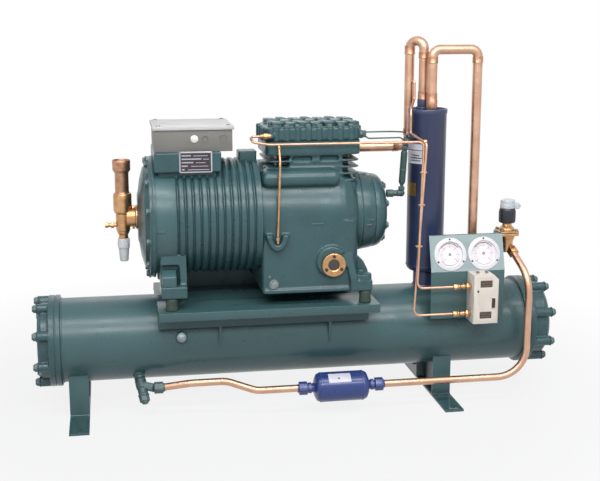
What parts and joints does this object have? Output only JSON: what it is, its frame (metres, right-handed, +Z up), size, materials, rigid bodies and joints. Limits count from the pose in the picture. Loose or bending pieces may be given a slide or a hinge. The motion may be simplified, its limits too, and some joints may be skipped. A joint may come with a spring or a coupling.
{
  "type": "water-cooled refrigeration compressor unit",
  "caption": "Semi-hermetic compressor on a shell-and-tube water-cooled condenser, with oil separator, gauges, pressure switch, solenoid valve, drier and pipework.",
  "frame": {"origin": "on the floor, at the centre of the four holes in the feet", "axes": "+X along the condenser shell towards the cover with the water connections, +Y away from the gauge side, +Z up"},
  "size_m": [1.377, 0.41, 0.9617],
  "materials": {
    "teal_paint": "semi-gloss enamel",
    "casting_paint": "semi-gloss enamel over casting",
    "bolt_paint": "semi-gloss enamel",
    "buffer_rubber": "matt",
    "lamination": "dark electrical steel",
    "machined_steel": "ground",
    "bearing_bronze": "bronze, running surface",
    "box_grey": "powder coat",
    "lid_grey": "powder coat",
    "board_plastic": "moulded",
    "plug_plastic": "moulded",
    "brass": "machined",
    "sight_glass": "clear over dark oil",
    "plug_steel": "dull zinc plate",
    "copper": "drawn copper tube",
    "cap_plastic": "moulded",
    "separator_paint": "semi-gloss enamel",
    "oil_line_paint": "semi-gloss enamel",
    "panel_paint": "semi-gloss enamel",
    "gauge_white": "enamel",
    "gauge_glass": "clear",
    "needle_black": "matt",
    "switch_cream": "moulded",
    "button_dark": "moulded",
    "coil_black": "moulded",
    "drier_blue": "gloss enamel",
    "valve_dark": "semi-gloss enamel"
  },
  "bodies": {
    "unit": {"condenser_shell": "teal_paint", "tube_sheets": "teal_paint", "left_water_cover": "teal_paint", "right_water_cover": "teal_paint", "left_foot": "teal_paint", "right_foot": "teal_paint", "platform": "teal_paint", "platform_gussets": "teal_paint", "crankcase": "casting_paint", "motor_housing": "casting_paint", "motor_end_cover": "casting_paint", "bearing_cover": "casting_paint", "oil_pump_cover": "casting_paint", "valve_plate": "casting_paint", "cylinder_head": "casting_paint", "cover_bolts": "bolt_paint", "end_cover_bolts": "bolt_paint", "pump_cover_bolts": "bolt_paint", "head_bolts": "bolt_paint", "rubber_buffers": "buffer_rubber", "stator": "lamination", "tube_bundle": "machined_steel", "main_bearings": "bearing_bronze", "terminal_box": "box_grey", "terminal_lid": "lid_grey", "terminal_board": "board_plastic", "knockout_plugs": "plug_plastic", "sight_glass_ring": "brass", "suction_valve_body": "brass", "flare_fittings": "brass", "solenoid_valve_body": "brass", "sight_glass_lens": "sight_glass", "pipe_plugs": "plug_steel", "suction_stub": "copper", "discharge_pipe": "copper", "separator_outlet_pipe": "copper", "gauge_lines": "copper", "liquid_line": "copper", "oil_separator": "separator_paint", "oil_return_line": "oil_line_paint", "gauge_panel": "panel_paint", "gauge_cases": "gauge_white", "gauge_glasses": "gauge_glass", "switch_housing": "switch_cream", "solenoid_coil": "coil_black", "filter_drier": "drier_blue", "liquid_valve": "valve_dark"},
    "crank": {"crankshaft": "machined_steel", "rotor": "lamination"},
    "left_needle": {"gauge_needle_left": "needle_black"},
    "right_needle": {"gauge_needle_right": "needle_black"},
    "suction_stem": {"suction_spindle": "machined_steel"},
    "suction_valve_disc": {"suction_disc": "brass"},
    "suction_cap": {"suction_valve_cap": "cap_plastic"},
    "float": {"separator_float": "machined_steel"},
    "plunger": {"solenoid_plunger": "machined_steel"},
    "reset_button": {"switch_reset_button": "button_dark"},
    "low_setting": {"switch_spindle_low": "machined_steel"},
    "high_setting": {"switch_spindle_high": "machined_steel"},
    "liquid_cap": {"liquid_valve_cap": "valve_dark"}
  },
  "joints": [
    {"name": "crank_turn", "type": "hinge", "parent": "unit", "child": "crank", "pos_m": [0.1, 0, 0.507], "axis": [1, 0, 0], "continuous": true},
    {"name": "left_needle_turn", "type": "hinge", "parent": "unit", "child": "left_needle", "pos_m": [0.486, -0.11594, 0.40227], "axis": [0, -0.9511, 0.309], "range_deg": [-45, 225]},
    {"name": "right_needle_turn", "type": "hinge", "parent": "unit", "child": "right_needle", "pos_m": [0.578, -0.11594, 0.40227], "axis": [0, -0.9511, 0.309], "range_deg": [-135, 135]},
    {"name": "suction_stem_turn", "type": "hinge", "parent": "unit", "child": "suction_stem", "pos_m": [-0.3555, 0, 0.45], "axis": [0, 0, 1], "range_deg": [0, 1440]},
    {"name": "suction_disc_lift", "type": "slide", "parent": "unit", "child": "suction_valve_disc", "axis": [0, 0, 1], "range_m": [0, 0.008]},
    {"name": "suction_cap_off", "type": "slide", "parent": "unit", "child": "suction_cap", "axis": [0, 0, -1], "range_m": [0, 0.068]},
    {"name": "float_swing", "type": "hinge", "parent": "unit", "child": "float", "pos_m": [0.419, 0, 0.4], "axis": [0, 1, 0], "range_deg": [-25, 0]},
    {"name": "plunger_lift", "type": "slide", "parent": "unit", "child": "plunger", "axis": [0, 0, 1], "range_m": [0, 0.003], "stiffness_N_per_m": 300, "springref_m": -0.005},
    {"name": "reset_press", "type": "slide", "parent": "unit", "child": "reset_button", "axis": [0, 1, 0], "range_m": [0, 0.0025], "stiffness_N_per_m": 400, "springref_m": -0.001},
    {"name": "low_setting_turn", "type": "hinge", "parent": "unit", "child": "low_setting", "pos_m": [0.548, -0.16, 0.36], "axis": [0, 0, 1], "range_deg": [-720, 720]},
    {"name": "high_setting_turn", "type": "hinge", "parent": "unit", "child": "high_setting", "pos_m": [0.572, -0.16, 0.36], "axis": [0, 0, 1], "range_deg": [-720, 720]},
    {"name": "liquid_cap_off", "type": "slide", "parent": "unit", "child": "liquid_cap", "axis": [0.165, -0.634, -0.7555], "range_m": [0, 0.03]}
  ],
  "couplings": [
    {"joint": "suction_stem_turn", "follows": "suction_disc_lift", "rad_per_m": 3141.6}
  ]
}
